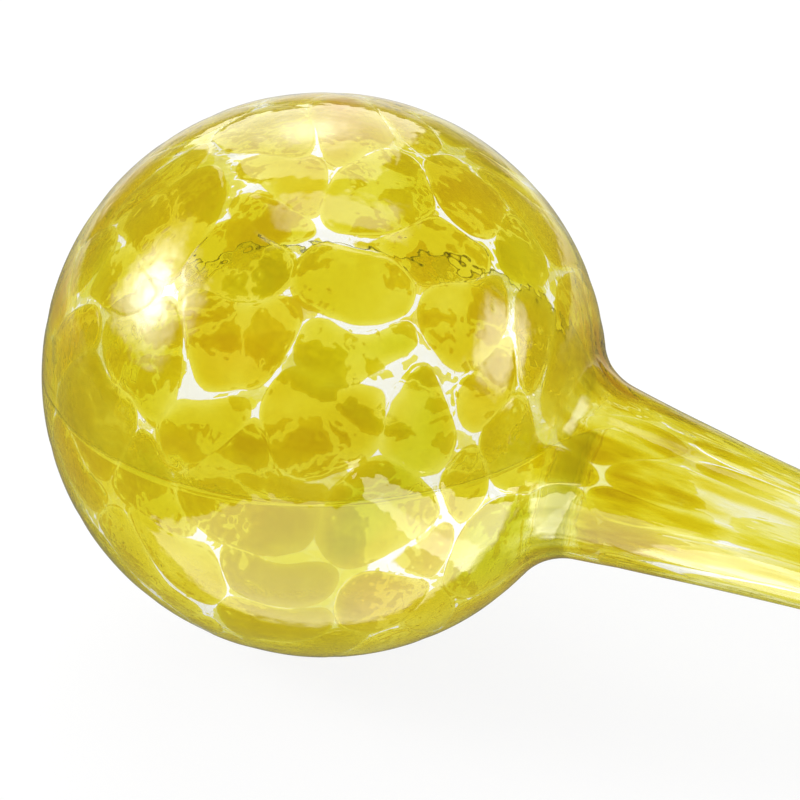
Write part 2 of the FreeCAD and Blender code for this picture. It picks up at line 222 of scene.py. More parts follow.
@dataclass(frozen=True)
class MeltedChips:
    """Where the chips lie, and how near each point of the glass is to them.

    Chips are cells about their middles, in the space of the gather before it was drawn:
    the bulb as it is, and the stem pushed together again into a short wide tube.
    Near ones are told apart by families, so that no two neighbours share a family.
    """

    gather: Gather
    down: Array
    count: int = 125
    scatter_share: float = 0.3
    seed: int = 7
    lanes: int = 14
    lane_steps: int = 2
    widening: float = 0.6
    families: int = 9
    first_stretch: float = 1.3
    last_stretch: float = 8.0
    stretch_way: float = 55.0
    stretch_steps: int = 200
    scatter_along: float = 0.35
    scatter_across: float = 0.2
    corner_softness: float = 1.5
    size_share: float = 0.22
    swirls: tuple[Pair, ...] = ((38.0, 3.2), (15.0, 1.3))

    @property
    def pitch(self) -> float:
        """Usual distance from one chip to the next."""
        return self.gather.bulb_radius * math.sqrt(4 * math.pi / self.count)

    def undrawn(self, lengths: Array, angle: Array) -> Array:
        """Place in the gather before it was drawn out into neck and stem.

        On the bulb it is the point itself. Past the shoulder the radius widens a little, and
        the way along grows by length over stretch, where the stretch rises along the neck.

        Args:
            lengths: Way along the outline from the crown.
            angle: Angle about the axis.

        Returns:
            Points in millimetres, with a last axis of three.
        """
        stops = self.gather.stops
        radius, along = self.gather.outline(np.minimum(lengths, stops[1]), 0.0)
        past = np.maximum(lengths - stops[1], 0.0)
        way = np.linspace(0.0, stops[4] - stops[1], self.stretch_steps)
        share = smooth_step(0.0, self.stretch_way, way)
        stretch = self.first_stretch + (self.last_stretch - self.first_stretch) * share
        pushed = np.concatenate([[0.0], np.cumsum(np.diff(way) / stretch[1:])])
        along = along + np.interp(past, way, pushed)
        radius = radius * (1.0 + self.widening * smooth_step(0.0, self.stretch_way, past))
        return np.stack([radius * np.cos(angle), radius * np.sin(angle), along], axis=-1)

    def swirled(self, places: Array) -> Array:
        """Shift points as the molten glass was stirred: for each swirl, its depth times the
        sine of each of three slanting plane waves.

        Args:
            places: Points before drawing, one row each.

        Returns:
            The shifted points.
        """
        draw = np.random.default_rng(self.seed)
        moved = places.copy()
        for wave, depth in self.swirls:
            slant = draw.normal(size=(3, 3))
            slant *= math.tau / wave / np.linalg.norm(slant, axis=0)
            moved += depth * np.sin(places @ slant + draw.uniform(0, math.tau, 3))
        return moved

    def middles(self) -> Array:
        """Middles of all chips: a golden spiral on the bulb, scattered a little, and lanes
        of streaks round the neck and the stem, where every other lane starts half a step on.

        Returns:
            One row of three millimetre values for each chip.
        """
        scatter = random.Random(self.seed)
        draws = np.array([scatter.uniform(-1, 1) for _ in range(2 * self.count)]).reshape(-1, 2)
        index = np.arange(self.count)
        spread = self.scatter_share * self.pitch / self.gather.bulb_radius
        rise = 1 - 2 * (index + 0.5) / self.count
        rise = np.clip(rise + spread * draws[:, 0] * np.sqrt(1 - rise**2), -1, 1)
        turn = math.pi * (3 - math.sqrt(5)) * index + spread * draws[:, 1]
        lowest = np.argmin(abs(rise - self.down[2]))
        rise[lowest] = self.down[2]
        turn -= turn[lowest]
        flat = np.sqrt(1 - rise**2)
        ball = np.stack([flat * np.cos(turn), flat * np.sin(turn), rise], axis=1)
        ball = ball[ball[:, 2] < math.sin(self.gather.turns[0])] * self.gather.bulb_radius

        lane, step = np.meshgrid(np.arange(self.lanes), np.arange(self.lane_steps), indexing="ij")
        moves = np.array([scatter.uniform(-1, 1) for _ in range(2 * lane.size)])
        along, across = moves.reshape(2, *lane.shape)
        run = self.gather.stops[3] - self.gather.stops[1]
        share = (step + 0.5 + self.scatter_along * along + 0.5 * (lane % 2)) / self.lane_steps
        angle = (lane + self.scatter_across * across) * math.tau / self.lanes
        tube = self.undrawn(self.gather.stops[1] + share.ravel() * run, angle.ravel())
        return np.concatenate([ball, tube])

    def family_of(self, middles: Array) -> Array:
        """Give each chip the family whose nearest other member is farthest away.

        Args:
            middles: Middles of the chips.

        Returns:
            A family number for each chip.
        """
        chosen = np.full(len(middles), -1)
        for place, middle in enumerate(middles):
            away = np.linalg.norm(middles[:place] - middle, axis=1)
            nearest = [away[chosen[:place] == kind].min(initial=np.inf) for kind in range(self.families)]
            chosen[place] = int(np.argmax(nearest))
        return chosen

    def closeness(self, places: Array) -> tuple[Array, Array]:
        """Squared distance to the nearest chip of each family, and that chip's tint.

        Args:
            places: Points before drawing, one row each.

        Returns:
            Two arrays with a column for each family.
        """
        middles = self.middles()
        family = self.family_of(middles)
        draw = np.random.default_rng(self.seed)
        tints = draw.random(len(middles))
        sizes = draw.uniform(-self.size_share, self.size_share, len(middles)) * self.pitch**2
        moved = self.swirled(places)
        squares, colours = [], []
        for member in range(self.families):
            own = np.flatnonzero(family == member)
            square = ((moved[:, None, :] - middles[None, own]) ** 2).sum(axis=2) - sizes[own]
            squares.append(square.min(axis=1))
            colours.append(tints[own][square.argmin(axis=1)])
        return np.stack(squares, axis=1), np.stack(colours, axis=1)

    def inset(self, squares: Array) -> Array:
        """How far inside its chip each point is: a soft minimum over the neighbours of the
        distance to the line halfway to each, negative where chips meet at a corner.

        Args:
            squares: Squared distances for each family.

        Returns:
            One millimetre value for each point.
        """
        gaps = (squares - squares.min(axis=1, keepdims=True)) / (2 * self.pitch)
        total = np.exp(-gaps / self.corner_softness).sum(axis=1) - 1.0
        return -np.log(np.maximum(total, TINY)) * self.corner_softness


def tube_mesh(name: str, rings: Array, first: Array, last: Array) -> Mesh:
    """Closed mesh from rings of points and one point at each end.

    Quads join each ring to the next, and a fan of triangles closes each end.

    Args:
        name: Name of the mesh.
        rings: Points in metres, shaped rings by points by three.
        first: The point that closes the first ring.
        last: The point that closes the last ring.

    Returns:
        The mesh, its points in the order rings, first, last.
    """
    rows, columns = rings.shape[:2]
    here = np.arange(rows * columns).reshape(rows, columns)
    after = np.roll(here, -1, axis=1)
    quads = np.stack([here[:-1], after[:-1], after[1:], here[1:]], axis=-1).reshape(-1, 4)
    ends = np.full((2, columns), here.size) + [[0], [1]]
    faces = quads.tolist() + np.stack([ends[0], after[0], here[0]], axis=1).tolist()
    faces += np.stack([here[-1], after[-1], ends[1]], axis=1).tolist()
    points = np.concatenate([rings.reshape(-1, 3), first[None], last[None]])
    mesh = bpy.data.meshes.new(name)
    mesh.from_pydata(points.tolist(), [], faces)
    mesh.polygons.foreach_set("use_smooth", np.ones(len(faces), bool))
    mesh.update()
    return mesh


class Nodes:
    """Short way to write the nodes of a material, a lamp or the world."""

    def __init__(self, owner: Material | Light | World) -> None:
        """Start with an empty tree.

        Args:
            owner: What the nodes belong to.
        """
        owner.use_nodes = True
        self.tree = owner.node_tree
        self.tree.nodes.clear()

    def add(self, kind: str, inputs: dict | None = None, **settings: object) -> Node:
        """Add a node, set it up and connect or fill its inputs.

        Args:
            kind: Type name of the node, after ShaderNode.
            inputs: Socket name or number to a value or to another node's socket.
            settings: Properties of the node.

        Returns:
            The node.
        """
        node = self.tree.nodes.new("ShaderNode" + kind)
        for name, value in settings.items():
            setattr(node, name, value)
        for name, value in (inputs or {}).items():
            if isinstance(value, Socket):
                self.tree.links.new(value, node.inputs[name])
            else:
                node.inputs[name].default_value = value
        return node

    def attribute(self, name: str, output: str) -> Socket:
        """Read what the mesh holds at each point under this name."""
        return self.add("Attribute", attribute_name=name).outputs[output]

    def math(self, operation: str, *values: object) -> Socket:
        """One sum on numbers or sockets, such as ADD or MULTIPLY_ADD."""
        return self.add("Math", dict(enumerate(values)), operation=operation).outputs[0]

    def vector_math(self, operation: str, *values: object) -> Node:
        """One sum on vectors, such as DOT_PRODUCT, as its node."""
        return self.add("VectorMath", dict(enumerate(values)), operation=operation)

    def step(self, value: object, low: object, high: object, span: Pair = (0.0, 1.0)) -> Socket:
        """Smooth rise of a value between two others, over a span of results."""
        inputs = {"Value": value, "From Min": low, "From Max": high, "To Min": span[0], "To Max": span[1]}
        return self.add("MapRange", inputs, interpolation_type="SMOOTHSTEP").outputs["Result"]

    def noise(self, place: object, size: float, detail: float = 2.0) -> Socket:
        """Soft noise about 0.5 whose lumps are about this long, in the place's own units."""
        inputs = {"Vector": place, "Scale": 1.0 / size, "Detail": detail}
        return self.add("TexNoise", inputs).outputs["Fac"]

    def bump(self, height: Socket, depth: float) -> Socket:
        """Normals of a surface that rises this many millimetres where the height rises by 1."""
        inputs = {"Height": height, "Distance": depth * METRES, "Strength": 1.0}
        return self.add("Bump", inputs).outputs[0]

    def glass(self, colour: object, ior: float, normal: Socket) -> None:
        """Show smooth glass: a shader of pure transmission.

        Args:
            colour: The glass's colour, the same all over or a socket.
            ior: Its index of refraction.
            normal: Normals of its surface.
        """
        inputs = {"Base Color": colour, "Roughness": 0.0, "IOR": ior}
        inputs |= {"Transmission Weight": 1.0, "Normal": normal}
        shader = self.add("BsdfPrincipled", inputs)
        self.add("OutputMaterial", {"Surface": shader.outputs[0]})

    def ray(self, output: str) -> Socket:
        """Read one thing that the light path tells of a ray."""
        return self.add("LightPath").outputs[output]

    def outer(self) -> Socket:
        """1 for a ray that hasn't gone through any glass yet, else 0."""
        return self.math("LESS_THAN", self.ray("Transmission Depth"), 0.5)

    def mirrored(self) -> Socket:
        """1 for a ray that the outside of the glass mirrors, else 0."""
        return self.math("MULTIPLY", self.ray("Is Glossy Ray"), self.outer())


@dataclass(frozen=True)
class ClearGlass:
    """Colourless glass of the wall's inside, with the faintest waves from blowing."""

    name: str = "clear_blown_glass"
    ior: float = 1.5
    wave_size: float = 9.0
    wave_depth: float = 0.02
    colour: tuple[float, ...] = (0.985, 0.99, 0.975, 1.0)

    def material(self) -> Material:
        """Make the material, with waves in its bump.

        Returns:
            The material.
        """
        made = bpy.data.materials.new(self.name)
        nodes = Nodes(made)
        place = nodes.add("TexCoord").outputs["Object"]
        waves = nodes.noise(place, self.wave_size * METRES)
        nodes.glass(self.colour, self.ior, nodes.bump(waves, self.wave_depth))
        return made


@dataclass(frozen=True)
class Water(ClearGlass):
    """Plain water, see-through as the clear glass is, with slow ripples."""

    name: str = "water"
    ior: float = 1.333
    wave_size: float = 30.0
    wave_depth: float = 0.01
    colour: tuple[float, ...] = (0.995, 0.998, 0.99, 1.0)


@dataclass(frozen=True)
class ChippedGlass:
    """Outside of the wall: yellow chips in clear glass, with thin veins between them.

    Sizes are in millimetres of the undrawn glass, and depths in millimetres. A rise is the
    pair of values between which something changes, and a pair of tints is the colour's
    strength at the rise's two ends, or what the threads add to it there.
    """

    chips: MeltedChips
    name: str = "yellow_chipped_glass"
    ior: float = 1.5
    clear: tuple[float, ...] = (0.985, 0.99, 0.97, 1.0)
    colours: tuple[tuple[float, ChipColour], ...] = (
        (0.0, ChipColour.GREEN_LEMON),
        (0.2, ChipColour.LEMON),
        (0.6, ChipColour.YELLOW),
        (0.88, ChipColour.GOLDEN),
        (1.0, ChipColour.AMBER),
    )
    lump_size: float = 3.5
    wobble: float = 0.8
    loose_wobble: float = 1.2
    narrow_vein: float = -0.45
    wide_vein: float = 1.0
    vein_change: float = 3.4
    vein_change_size: float = 16.0
    shard_size: float = 10.0
    crack_width: float = 0.55
    crack_wobble: float = 2.0
    edge_softness: float = 0.08
    edge_width: float = 1.4
    edge_tints: Pair = (0.65, 1.0)
    cloud_size: float = 9.0
    cloud_rise: Pair = (0.3, 0.75)
    cloud_tints: Pair = (1.58, 1.0)
    thread_size: float = 4.5
    thread_squeeze: float = 0.3
    thread_rise: Pair = (0.35, 0.65)
    thread_tints: Pair = (-0.7, 0.5)
    drawn_rise: Pair = (32.0, 37.0)
    groove_depth: float = 0.02
    groove_rise: Pair = (-0.2, 0.35)
    dent_size: float = 5.0
    dent_depth: float = 0.19
    wrinkle_size: float = 1.8
    wrinkle_depth: float = 0.025

    def families(self, nodes: Nodes, name: str) -> list[Socket]:
        """Read the values of all families from the mesh, three in each attribute."""
        places = [nodes.attribute(f"{name}_{part}", "Vector") for part in range(self.chips.families // 3)]
        return [axis for place in places for axis in nodes.add("SeparateXYZ", {0: place}).outputs]

    def inset_and_tint(self, nodes: Nodes) -> tuple[Socket, Socket]:
        """Inset and tint of the chip at each point, by the same sum as MeltedChips.inset.

        Args:
            nodes: The material's nodes.

        Returns:
            Sockets of the inset in millimetres and of the tint from 0 to 1.
        """
        squares = self.families(nodes, "chip_square")
        tints = self.families(nodes, "chip_tint")
        nearest = squares[0]
        for square in squares[1:]:
            nearest = nodes.math("MINIMUM", nearest, square)
        scale = -1.0 / (2 * self.chips.pitch * self.chips.corner_softness)
        total, mixed = 0.0, 0.0
        for square, tint in zip(squares, tints):
            gap = nodes.math("SUBTRACT", square, nearest)
            weight = nodes.math("EXPONENT", nodes.math("MULTIPLY", gap, scale))
            total = nodes.math("ADD", total, weight)
            mixed = nodes.math("MULTIPLY_ADD", tint, weight, mixed)
        others = nodes.math("MAXIMUM", nodes.math("SUBTRACT", total, 1.0), TINY)
        inset = nodes.math("MULTIPLY", nodes.math("LOGARITHM", others, math.e), -self.chips.corner_softness)
        return inset, nodes.math("DIVIDE", mixed, total)

    def edges(self, nodes: Nodes, place: Socket, inset: Socket) -> tuple[Socket, Socket]:
        """Make the edges uneven and part the chips by veins, wide on the loose side.

        A vein's half width is narrow + (wide - narrow) * looseness + change * noise about 0.
        On the loose side the chips are also broken along the borders of random cells, to
        each side by the crack's width.

        Args:
            nodes: The material's nodes.
            place: Place before drawing.
            inset: How far inside its chip each point is.

        Returns:
            Sockets of the uneven inset, and of the same less the vein and the cracks.
        """
        loose = nodes.attribute("vein_spread", "Fac")
        lumps = nodes.math("SUBTRACT", nodes.noise(place, self.lump_size, detail=3.0), 0.5)
        wobble = nodes.math("MULTIPLY_ADD", loose, self.loose_wobble, self.wobble)
        inset = nodes.math("MULTIPLY_ADD", lumps, wobble, inset)
        vein = nodes.math("MULTIPLY_ADD", loose, self.wide_vein - self.narrow_vein, self.narrow_vein)
        change = nodes.math("SUBTRACT", nodes.noise(place, self.vein_change_size, detail=1.0), 0.5)
        vein = nodes.math("MULTIPLY_ADD", change, self.vein_change, vein)
        past = nodes.math("SUBTRACT", inset, vein)
        cells = {"Vector": place, "Scale": 1.0 / self.shard_size}
        border = nodes.add("TexVoronoi", cells, feature="DISTANCE_TO_EDGE").outputs["Distance"]
        shard = nodes.math("MULTIPLY_ADD", border, self.shard_size, -self.crack_width)
        shard = nodes.math("MULTIPLY_ADD", lumps, self.crack_wobble, shard)
        lost = nodes.math("SUBTRACT", nodes.math("MINIMUM", past, shard), past)
        return inset, nodes.math("MULTIPLY_ADD", lost, loose, past)

    def strength(self, nodes: Nodes, place: Socket, past: Socket) -> Socket:
        """Strength of the colour: clouds * the mesh's own * thin edge * (1 + threads).

        Threads fade in on the drawn glass, and run along the stem because the place is
        squeezed along it.

        Args:
            nodes: The material's nodes.
            place: Place before drawing.
            past: How far each point is from the chip's uneven edge.

        Returns:
            A socket that is 1 where two layers of the glass have its written colour.
        """
        clouds = nodes.noise(place, self.cloud_size, detail=3.0)
        clouds = nodes.step(clouds, *self.cloud_rise, self.cloud_tints)
        own = nodes.math("MULTIPLY", clouds, nodes.attribute("chip_depth", "Fac"))
        own = nodes.math("MULTIPLY", own, nodes.step(past, 0.0, self.edge_width, self.edge_tints))
        along = nodes.add("SeparateXYZ", {0: place}).outputs["Z"]
        drawn = nodes.step(along, *self.drawn_rise)
        squeezed = nodes.vector_math("MULTIPLY", place, (1.0, 1.0, self.thread_squeeze)).outputs[0]
        threads = nodes.noise(squeezed, self.thread_size, detail=4.0)
        threads = nodes.step(threads, *self.thread_rise, self.thread_tints)
        return nodes.math("MULTIPLY", own, nodes.math("MULTIPLY_ADD", threads, drawn, 1.0))

    def colour(self, nodes: Nodes, tint: Socket, strength: Socket, inside: Socket) -> Socket:
        """Colour of chips and veins: the chip's colour to the power of its strength.

        Args:
            nodes: The material's nodes.
            tint: Which of the colours the chip has, from 0 to 1.
            strength: Strength of the colour.
            inside: 1 in a chip and 0 in a vein.

        Returns:
            The colour's socket.
        """
        ramp = nodes.add("ValToRGB", {"Fac": tint})
        points = ramp.color_ramp.elements
        while len(points) < len(self.colours):
            points.new(0.5)
        for point, (share, colour) in zip(points, self.colours):
            point.position = share
            point.color = (*colour.value, 1.0)
        deep = nodes.add("Gamma", {"Color": ramp.outputs["Color"], "Gamma": strength})
        inputs = {0: inside, 6: self.clear, 7: deep.outputs[0]}
        return nodes.add("Mix", inputs, data_type="RGBA").outputs[2]

    def waves(self, nodes: Nodes, place: Socket, inset: Socket) -> Socket:
        """Small waves of the surface: a groove along each vein, dents and wrinkles.

        Args:
            nodes: The material's nodes.
            place: Place before drawing.
            inset: How far inside its chip each point is.

        Returns:
            A socket of the surface's normals.
        """
        groove = nodes.step(inset, *self.groove_rise)
        dents = nodes.noise(place, self.dent_size)
        dents = nodes.math("MULTIPLY", dents, self.dent_depth / self.groove_depth)
        wrinkles = nodes.noise(place, self.wrinkle_size, detail=1.0)
        wrinkles = nodes.math("MULTIPLY", wrinkles, self.wrinkle_depth / self.groove_depth)
        height = nodes.math("ADD", groove, nodes.math("ADD", dents, wrinkles))
        return nodes.bump(height, self.groove_depth)

    def material(self) -> Material:
        """Make the material: colour by chip, clear veins, and a surface with small waves.

        Returns:
            The material.
        """
        made = bpy.data.materials.new(self.name)
        nodes = Nodes(made)
        place = nodes.attribute("undrawn", "Vector")
        inset, tint = self.inset_and_tint(nodes)
        inset, past = self.edges(nodes, place, inset)
        inside = nodes.step(past, -self.edge_softness, self.edge_softness)
        strength = self.strength(nodes, place, past)
        colour = self.colour(nodes, tint, strength, inside)
        nodes.glass(colour, self.ior, self.waves(nodes, place, inset))
        return made


@dataclass
class BlownGlass:
    """The globe's glass: outside, rounded mouth and inside as one closed wall.

    The colour ends by the straight tip, is a little stronger at the neck and weaker along
    the stem. The loose side is the one where the chips lie farthest apart.
    """

    gather: Gather
    lying: Lying
    chips: MeltedChips
    columns: int = 300
    bulb_rows: int = 150
    neck_rows: int = 16
    stem_rows: int = 60
    tip_rows: int = 12
    least_rows: int = 3
    inner_share: float = 0.27
    lip_rows: int = 9
    lip_gap: float = 0.3
    chipped_lip_rows: int = 2
    relief: float = 0.08
    relief_rise: Pair = (-0.6, 2.0)
    bulb_offset: float = 0.42
    stem_offset: float = 0.22
    bare_end: float = 6.0
    colour_end: Pair = (-10.0, 6.0)
    neck_gain: float = 0.05
    neck_lead: float = 12.0
    stem_loss: float = 0.55
    stem_way: float = 25.0
    loose_side: Triple = (-0.28474832, 0.82696918, -0.48480962)
    loose_rise: Pair = (-0.2, 0.8)

    def rows(self, share: float) -> Array:
        """Ways along the outline at which rings lie, evenly spaced between two of its stops.

        Args:
            share: Share of the rings that the outside has.

        Returns:
            The ways, without the crown and the mouth.
        """
        whole = (self.bulb_rows, self.neck_rows, self.stem_rows, self.tip_rows)
        counts = [max(self.least_rows, round(share * rows)) for rows in whole]
        stops = self.gather.stops
        runs = [np.linspace(a, b, n, endpoint=False) for a, b, n in zip(stops, stops[1:], counts)]
        return np.concatenate(runs)[1:]

    def outside(self) -> tuple[Array, Array, Array, Array]:
        """Outside rings: the outline, offset by the chips' relief.

        Returns:
            Lengths, angles, radius and distance along the axis, each rings by columns.
        """
        turns = np.arange(self.columns) * math.tau / self.columns
        lengths, angle = np.meshgrid(self.rows(1.0), turns, indexing="ij")
        stops = self.gather.stops
        squares, _ = self.chips.closeness(self.chips.undrawn(lengths, angle).reshape(-1, 3))
        inset = self.chips.inset(squares).reshape(lengths.shape)
        bumps = smooth_step(*self.relief_rise, inset) * self.relief
        base = np.interp(lengths, stops[1:4], [self.bulb_offset, self.stem_offset, 0.0])
        fade = 1.0 - smooth_step(stops[3] - self.bare_end, stops[3], lengths)
        radius, along = self.gather.outline(lengths, base + bumps * fade)
        return lengths, angle, radius, along

    def pole(self, reach: float) -> Array:
        """Point of the axis that closes the wall at the crown, this far from the centre."""
        return self.lying.place(np.zeros(1), np.zeros(1), np.array([-reach]))[0]

    def build(self) -> Object:
        """Make the glass wall, its attributes and its materials.

        The rings go along the outside to the mouth, round its lip in half a circle, and back
        along the inside.

        Returns:
            The object, riding on the globe's only body.
        """
        lengths, angle, radius, along = self.outside()
        wall, bulb = self.gather.wall, self.gather.bulb_radius
        lip_start = self.gather.mouth_distance - wall / 2
        turn = np.linspace(0.0, math.pi, self.lip_rows)[:, None] + np.zeros(self.columns)
        lip_radius = self.gather.tip_radius - wall / 2 + wall / 2 * np.cos(turn)
        lip = [np.full(turn.shape, self.gather.stops[4]), lip_radius, lip_start + wall / 2 * np.sin(turn)]
        back = self.rows(self.inner_share)[::-1, None] + np.zeros(self.columns)
        sides = np.stack([lengths, radius, along]), np.stack([back, *self.gather.outline(back, -wall)])
        outer, inner = (side[:, side[2, :, 0] < lip_start - self.lip_gap] for side in sides)
        lengths, radius, along = np.concatenate([outer, lip, inner], axis=1)
        turns = np.broadcast_to(angle[0], radius.shape)
        rings = self.lying.place(radius, turns, along)
        crown = self.pole(bulb + self.bulb_offset + self.relief)
        mesh = tube_mesh("blown_glass", rings, crown, self.pole(bulb - wall))
        self.write_attributes(mesh, lengths, turns)
        self.paint(mesh, (outer.shape[1] + self.chipped_lip_rows) * self.columns)
        return add_piece(mesh, "blown_glass", list(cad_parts))

    def paint(self, mesh: Mesh, outer_faces: int) -> None:
        """Give the outside and the lip's first rows the chips, and the rest clear glass.

        Args:
            mesh: The wall's mesh, whose last faces are the fans at its two poles.
            outer_faces: Number of faces from the crown's ring to there.
        """
        count = len(mesh.polygons)
        numbers = np.full(count, Face.CLEAR.value, np.int32)
        numbers[:outer_faces] = Face.CHIPPED.value
        numbers[count - 2 * self.columns : count - self.columns] = Face.CHIPPED.value
        mesh.polygons.foreach_set("material_index", numbers)
        for finish in (ChippedGlass(self.chips), ClearGlass()):
            mesh.materials.append(finish.material())

    def write_attributes(self, mesh: Mesh, lengths: Array, angle: Array) -> None:
        """Write what the material reads: closeness and tints of the chips, in threes, then place
        before drawing, depth of the colour and looseness.

        Args:
            mesh: The wall's mesh, rings first and then its two end points.
            lengths: Way along the outline of every ring point.
            angle: Angle about the axis of every ring point.
        """
        lengths, angle = (np.append(rings.ravel(), [0.0, 0.0]) for rings in (lengths, angle))
        places = self.chips.undrawn(lengths, angle)
        squares, tints = self.chips.closeness(places)
        stops = self.gather.stops
        ends = [stops[3] + end for end in self.colour_end]
        depth = 1.0 - smooth_step(*ends, lengths)
        depth *= 1.0 + self.neck_gain * smooth_step(stops[1] - self.neck_lead, stops[2], lengths)
        depth *= 1.0 - self.stem_loss * smooth_step(stops[2], stops[2] + self.stem_way, lengths)
        side = self.lying.axes @ np.array(self.loose_side)
        loose = smooth_step(*self.loose_rise, places @ side / self.gather.bulb_radius)
        written = {}
        for part in range(self.chips.families // 3):
            written[f"chip_square_{part}"] = squares[:, 3 * part : 3 * part + 3]
            written[f"chip_tint_{part}"] = tints[:, 3 * part : 3 * part + 3]
        written |= {"undrawn": places, "chip_depth": depth, "vein_spread": loose}
        for name, values in written.items():
            kind, field = ("FLOAT", "value") if values.ndim == 1 else ("FLOAT_VECTOR", "vector")
            made = mesh.attributes.new(name, kind, "POINT")
            made.data.foreach_set(field, np.ascontiguousarray(values, np.float32).ravel())


def add_object(name: str, data: ID) -> Object:
    """Put data into the scene as an object.

    Args:
        name: Name of the object.
        data: Its mesh, lamp or camera.

    Returns:
        The object.
    """
    made = bpy.data.objects.new(name, data)
    bpy.context.scene.collection.objects.link(made)
    return made


def add_piece(mesh: Mesh, name: str, replaced: list[str]) -> Object:
    """Put a mesh into the scene as a piece of the globe.

    Args:
        mesh: The piece's mesh, in place.
        name: Name of the piece.
        replaced: Nodes of the frame that it stands for.

    Returns:
        The object.
    """
    piece = add_object(name, mesh)
    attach(piece, "root")
    if replaced:
        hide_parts(*replaced)
    LOG.info("%s: %d points, %d faces", name, len(mesh.vertices), len(mesh.polygons))
    return piece


@dataclass
class WaterFill:
    """Water in the bulb up to its level, and in the whole stem."""

    gather: Gather
    lying: Lying
    level: float = 41.6
    overlap: float = 0.1
    mouth_gap: float = 5.0
    least_opening: float = 0.35
    bulb_rows: int = 130
    bulb_crowding: float = 1.6
    search_steps: int = 4000
    stem_rows: int = 90
    arc_columns: int = 96
    top_columns: int = 48
    end_bulge: float = 0.8

    def level_share(self, lengths: Array) -> tuple[Array, Array, Array]:
        """Height of the level above the axis in each ring, as a share of its radius:
        (level - centre's height + way along * sine of the tilt) / (radius * cosine).

        Args:
            lengths: Ways along the outline from the crown.

        Returns:
            That share, and each ring's radius and distance along the axis.
        """
        radius, along = self.gather.outline(lengths, self.overlap - self.gather.wall)
        sine, cosine = math.sin(self.lying.tilt), math.cos(self.lying.tilt)
        height = self.level - self.lying.centre[2] + along * sine
        return height / (np.maximum(radius, TINY) * cosine), radius, along

    def build(self) -> Object:
        """Make the water: each ring is an arc of the wall below the level, and a top.

        The top runs across in steps of a cosine. It lies on the level, or on the wall where
        that is lower: up = min(level, square root of (radius squared - across squared)).

        Returns:
            The object, riding on the globe's only body.
        """
        stops = self.gather.stops
        end = stops[4] - self.mouth_gap
        fine = np.linspace(0.0, end, self.search_steps)
        first = fine[np.flatnonzero(self.level_share(fine)[0] > -1.0)[0]]
        crowded = np.linspace(0.0, 1.0, self.bulb_rows, endpoint=False) ** self.bulb_crowding
        tail = np.linspace(stops[1], end, self.stem_rows)
        lengths = np.concatenate([first + (stops[1] - first) * crowded, tail])[1:]
        share, radius, along = self.level_share(lengths)
        share, radius = np.clip(share, -1.0, 1.0)[:, None], radius[:, None]
        opening = np.maximum(np.arccos(share), self.least_opening)
        way = np.linspace(0.0, 1.0, self.arc_columns)[None]
        angle = math.pi + opening + (math.tau - 2 * opening) * way
        step = np.linspace(0.0, math.pi, self.top_columns + 2)[None, 1:-1]
        across = radius * np.sin(opening) * np.cos(step)
        up = np.minimum(radius * share, np.sqrt(radius**2 - across**2))
        down = np.concatenate([radius * np.cos(angle), -up], axis=1)
        across = np.concatenate([radius * np.sin(angle), across], axis=1)
        ahead = np.broadcast_to(along[:, None], down.shape)
        rings = np.stack([down, across, ahead], axis=-1) @ self.lying.axes + self.lying.centre
        last = rings[-1].mean(axis=0) - self.lying.axes[2] * self.end_bulge
        mesh = tube_mesh("water", rings * METRES, rings[0].mean(axis=0) * METRES, last * METRES)
        mesh.materials.append(Water().material())
        return add_piece(mesh, "water", [])


@dataclass(frozen=True)
class Softbox:
    """A soft lamp in the room, placed by how the camera sees it.

    Its way is the direction from the bulb: right, up and toward the camera. Its edge is the
    share of its half side over which it fades, its middle and core are strengths, and the
    core reaches a share of the side.
    """

    name: str
    way: Triple
    size: Pair
    edge: float
    middle: float
    core: float = 0.0
    core_reach: float = 0.3
    distance: float = 600.0
    colour: Triple = (1.0, 1.0, 1.0)
    mirrored_only: bool = False
    lies_flat: bool = False

    def light(self) -> Light:
        """Make the lamp: brightest in its core, and fading over its soft edge.

        Its energy is pi times its area, which gives a strength of 1 the brightness 1.

        Returns:
            The lamp's data.
        """
        data = bpy.data.lights.new(self.name, "AREA")
        data.shape = "RECTANGLE"
        data.size, data.size_y = (side * METRES for side in self.size)
        data.energy = math.pi * data.size * data.size_y
        nodes = Nodes(data)
        place = nodes.add("NewGeometry").outputs["Parametric"]
        strength = self.middle
        squares = []
        for side in nodes.add("SeparateXYZ", {0: place}).outputs[:2]:
            off = nodes.math("ABSOLUTE", nodes.math("SUBTRACT", side, 0.5))
            faded = nodes.step(off, 0.5, 0.5 - self.edge / 2)
            strength = nodes.math("MULTIPLY", strength, faded)
            squares.append(nodes.math("POWER", off, 2.0))
        far = nodes.math("SQRT", nodes.math("ADD", *squares))
        core = nodes.step(far, self.core_reach, 0.0, (0.0, self.core))
        strength = nodes.math("ADD", strength, core)
        if self.mirrored_only:
            strength = nodes.math("MULTIPLY", strength, nodes.outer())
        glow = nodes.add("Emission", {"Color": (*self.colour, 1.0), "Strength": strength})
        nodes.add("OutputLight", {"Surface": glow.outputs[0]})
        return data


